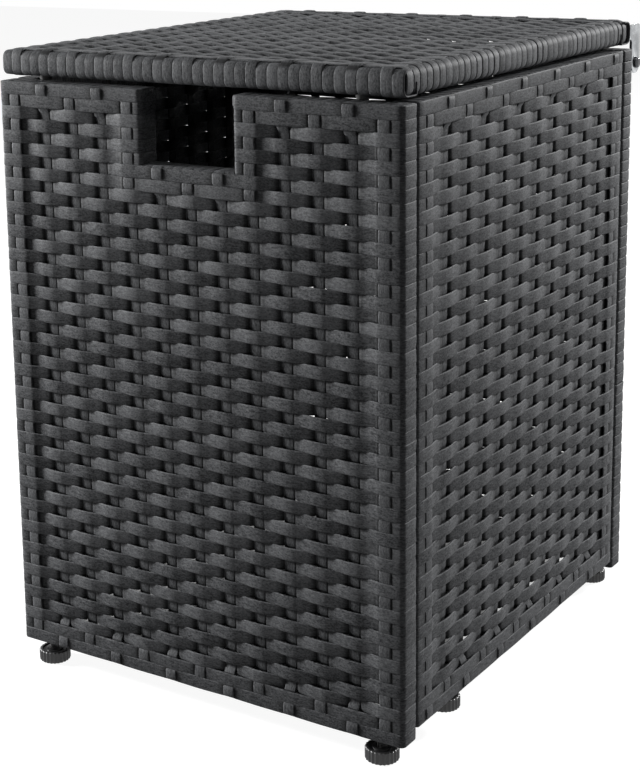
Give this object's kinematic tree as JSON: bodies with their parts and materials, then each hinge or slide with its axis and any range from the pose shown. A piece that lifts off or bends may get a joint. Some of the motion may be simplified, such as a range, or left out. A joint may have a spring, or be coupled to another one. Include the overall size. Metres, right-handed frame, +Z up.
{
  "type": "propane tank cover table",
  "caption": "Woven resin cabinet on welded tube frames that hides a gas cylinder; its hinged lid is a side table, with a hand notch and levelling feet.",
  "frame": {"origin": "on the floor, under the middle of the box round the whole object", "axes": "+Z up, -Y towards the panel with the notch, +X to the right of someone who faces that panel"},
  "size_m": [0.3936, 0.4758, 0.5525],
  "materials": {
    "powder_coated_tube": "black powder coat, satin",
    "flat_resin_wicker": "extruded flat strand with fine lengthwise ridges, charcoal",
    "foot_nylon": "moulded black nylon, fluted rim",
    "zinc_steel": "zinc plated, satin",
    "coated_bracket": "black powder coat",
    "bumper_rubber": "moulded rubber, matt"
  },
  "bodies": {
    "cabinet": {"front_frame": "powder_coated_tube", "front_weave": "flat_resin_wicker", "back_frame": "powder_coated_tube", "back_weave": "flat_resin_wicker", "left_frame": "powder_coated_tube", "left_weave": "flat_resin_wicker", "right_frame": "powder_coated_tube", "right_weave": "flat_resin_wicker", "foot_rivet_front_left": "zinc_steel", "foot_rivet_front_right": "zinc_steel", "foot_rivet_back_left": "zinc_steel", "foot_rivet_back_right": "zinc_steel", "foot_rivet_left": "zinc_steel", "foot_rivet_right": "zinc_steel", "corner_bolt_front_left_lower": "zinc_steel", "corner_rivet_front_left_lower": "zinc_steel", "corner_bolt_front_left_upper": "zinc_steel", "corner_rivet_front_left_upper": "zinc_steel", "corner_bolt_back_left_lower": "zinc_steel", "corner_rivet_back_left_lower": "zinc_steel", "corner_bolt_back_left_upper": "zinc_steel", "corner_rivet_back_left_upper": "zinc_steel", "corner_bolt_front_right_lower": "zinc_steel", "corner_rivet_front_right_lower": "zinc_steel", "corner_bolt_front_right_upper": "zinc_steel", "corner_rivet_front_right_upper": "zinc_steel", "corner_bolt_back_right_lower": "zinc_steel", "corner_rivet_back_right_lower": "zinc_steel", "corner_bolt_back_right_upper": "zinc_steel", "corner_rivet_back_right_upper": "zinc_steel", "hinge_bracket_left": "coated_bracket", "hinge_pin_left": "zinc_steel", "hinge_nut_left": "zinc_steel", "bracket_screw_left_outer": "zinc_steel", "bracket_screw_left_inner": "zinc_steel", "hinge_bracket_right": "coated_bracket", "hinge_pin_right": "zinc_steel", "hinge_nut_right": "zinc_steel", "bracket_screw_right_outer": "zinc_steel", "bracket_screw_right_inner": "zinc_steel"},
    "lid": {"lid_frame": "powder_coated_tube", "lid_weave": "flat_resin_wicker", "hinge_strap_left": "zinc_steel", "hinge_strap_right": "zinc_steel", "lid_screw_left_outer": "zinc_steel", "lid_screw_left_inner": "zinc_steel", "lid_screw_right_outer": "zinc_steel", "lid_screw_right_inner": "zinc_steel", "lid_bumper_front_left": "bumper_rubber", "lid_bumper_back_left": "bumper_rubber", "lid_bumper_front_right": "bumper_rubber", "lid_bumper_back_right": "bumper_rubber"},
    "foot_front_left_body": {"foot_front_left": "foot_nylon"},
    "foot_front_right_body": {"foot_front_right": "foot_nylon"},
    "foot_back_left_body": {"foot_back_left": "foot_nylon"},
    "foot_back_right_body": {"foot_back_right": "foot_nylon"},
    "foot_left_body": {"foot_left": "foot_nylon"},
    "foot_right_body": {"foot_right": "foot_nylon"}
  },
  "joints": [
    {"name": "lid_hinge", "type": "hinge", "parent": "cabinet", "child": "lid", "pos_m": [0, 0.22787, 0.511], "axis": [-1, 0, 0], "range_deg": [0, 100]},
    {"name": "foot_front_left_screw", "type": "slide", "parent": "cabinet", "child": "foot_front_left_body", "axis": [0, 0, -1], "range_m": [-0.007, 0.005]},
    {"name": "foot_front_right_screw", "type": "slide", "parent": "cabinet", "child": "foot_front_right_body", "axis": [0, 0, -1], "range_m": [-0.007, 0.005]},
    {"name": "foot_back_left_screw", "type": "slide", "parent": "cabinet", "child": "foot_back_left_body", "axis": [0, 0, -1], "range_m": [-0.007, 0.005]},
    {"name": "foot_back_right_screw", "type": "slide", "parent": "cabinet", "child": "foot_back_right_body", "axis": [0, 0, -1], "range_m": [-0.007, 0.005]},
    {"name": "foot_left_screw", "type": "slide", "parent": "cabinet", "child": "foot_left_body", "axis": [0, 0, -1], "range_m": [0, 0.01]},
    {"name": "foot_right_screw", "type": "slide", "parent": "cabinet", "child": "foot_right_body", "axis": [0, 0, -1], "range_m": [0, 0.01]}
  ]
}
